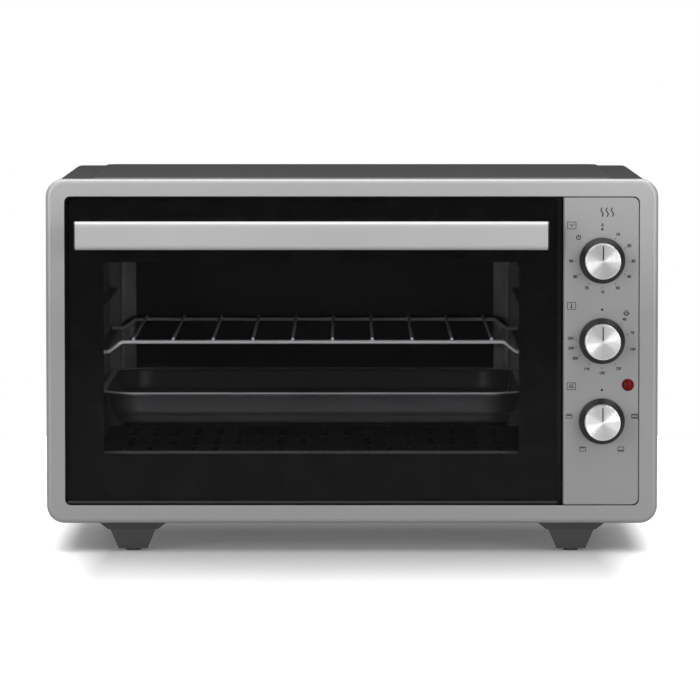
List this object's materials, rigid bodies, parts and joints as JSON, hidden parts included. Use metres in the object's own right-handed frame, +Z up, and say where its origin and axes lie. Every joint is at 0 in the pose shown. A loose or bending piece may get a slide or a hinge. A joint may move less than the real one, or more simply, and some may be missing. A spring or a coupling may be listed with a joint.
{
  "type": "toaster oven",
  "caption": "Countertop toaster oven with a drop-down glass door, bar handle, wire rack, baking tray and a control panel with turning knobs.",
  "frame": {"origin": "on the table, under the middle of the whole object, in the plane of the feet", "axes": "+X to the right seen from the front, +Y from the door to the back, +Z up; the door faces -Y"},
  "size_m": [0.52, 0.422, 0.318],
  "materials": {
    "bezel_silver": "satin",
    "panel_grey": "satin, fine metallic",
    "shell_dark": "satin powder coat",
    "cavity_dark": "dark enamel",
    "sheet_steel": "plain",
    "black_glass": "smoked, printed black round the window",
    "clear_glass": "polished",
    "door_steel": "black",
    "trim_metal": "satin",
    "handle_silver": "satin, brushed along its length",
    "black_plastic": "fine grain",
    "knob_metal": "spun",
    "chrome_wire": "bright",
    "tray_enamel": "semi-gloss enamel",
    "foot_plastic": "matte",
    "screw_steel": "zinc plated",
    "heater_steel": "heat tinted",
    "ceramic": "unglazed ceramic",
    "unit_plastic": "moulded",
    "copper_tube": "drawn tube",
    "lamp_red": "clear red",
    "white_plastic": "moulded",
    "wire_cover": "silicone"
  },
  "bodies": {
    "housing": {"front_bezel": "bezel_silver", "control_panel": "panel_grey", "control_bracket": "sheet_steel", "outer_shell": "shell_dark", "rear_cover": "shell_dark", "base_plate": "sheet_steel", "front_frame": "cavity_dark", "cavity_roof": "cavity_dark", "cavity_wall_left": "cavity_dark", "cavity_wall_right": "cavity_dark", "cavity_back": "cavity_dark", "cavity_floor": "cavity_dark", "control_baffle": "sheet_steel", "heater_top_front": "heater_steel", "heater_top_rear": "heater_steel", "heater_bottom_front": "heater_steel", "heater_bottom_rear": "heater_steel", "heater_insulators": "ceramic", "timer_unit": "unit_plastic", "timer_bell": "sheet_steel", "thermostat_unit": "white_plastic", "thermostat_bulb": "copper_tube", "selector_switch": "black_plastic", "lamp_lens": "lamp_red", "lamp_holder": "white_plastic", "foot_front_left": "foot_plastic", "foot_front_right": "foot_plastic", "foot_rear_left": "foot_plastic", "foot_rear_right": "foot_plastic", "foot_screws": "screw_steel", "cover_screws": "screw_steel", "terminal_block": "white_plastic", "wiring_harness": "wire_cover", "cord_gland": "black_plastic", "hinge_bracket_left": "sheet_steel", "hinge_bracket_right": "sheet_steel", "door_springs": "sheet_steel"},
    "door": {"door_glass": "black_glass", "door_frame": "door_steel", "door_inner_glass": "clear_glass", "door_lower_trim": "trim_metal", "hinge_arm_left": "sheet_steel", "hinge_arm_right": "sheet_steel", "hinge_pins": "sheet_steel", "handle_bar": "handle_silver", "handle_end_left": "black_plastic", "handle_end_right": "black_plastic", "handle_screws": "screw_steel"},
    "rack": {"rack_cross_wires": "chrome_wire", "rack_rods": "chrome_wire"},
    "tray": {"baking_tray": "tray_enamel"},
    "timer_dial": {"timer_knob": "black_plastic", "timer_knob_cap": "knob_metal", "timer_shaft": "sheet_steel"},
    "thermostat_dial": {"thermostat_knob": "black_plastic", "thermostat_knob_cap": "knob_metal", "thermostat_shaft": "sheet_steel"},
    "selector_dial": {"selector_knob": "black_plastic", "selector_knob_cap": "knob_metal", "selector_shaft": "sheet_steel"}
  },
  "joints": [
    {"name": "door_hinge", "type": "hinge", "parent": "housing", "child": "door", "pos_m": [-0.0337, -0.162, 0.05], "axis": [1, 0, 0], "range_deg": [0, 90], "deforming": ["door_springs"]},
    {"name": "rack_slide", "type": "slide", "parent": "housing", "child": "rack", "axis": [0, -1, 0], "range_m": [0, 0.173]},
    {"name": "tray_slide", "type": "slide", "parent": "housing", "child": "tray", "axis": [0, -1, 0], "range_m": [0, 0.079]},
    {"name": "timer_turn", "type": "hinge", "parent": "housing", "child": "timer_dial", "pos_m": [0.2124, -0.184, 0.2485], "axis": [0, 1, 0], "range_deg": [-45, 270]},
    {"name": "thermostat_turn", "type": "hinge", "parent": "housing", "child": "thermostat_dial", "pos_m": [0.2124, -0.184, 0.1801], "axis": [0, 1, 0], "range_deg": [0, 273]},
    {"name": "selector_turn", "type": "hinge", "parent": "housing", "child": "selector_dial", "pos_m": [0.2124, -0.184, 0.1117], "axis": [0, 1, 0], "range_deg": [0, 280]}
  ],
  "couplings": [
    {"joint": "rack_slide", "follows": "door_hinge", "m_per_rad": 0.11},
    {"joint": "tray_slide", "follows": "door_hinge", "m_per_rad": 0.05}
  ]
}
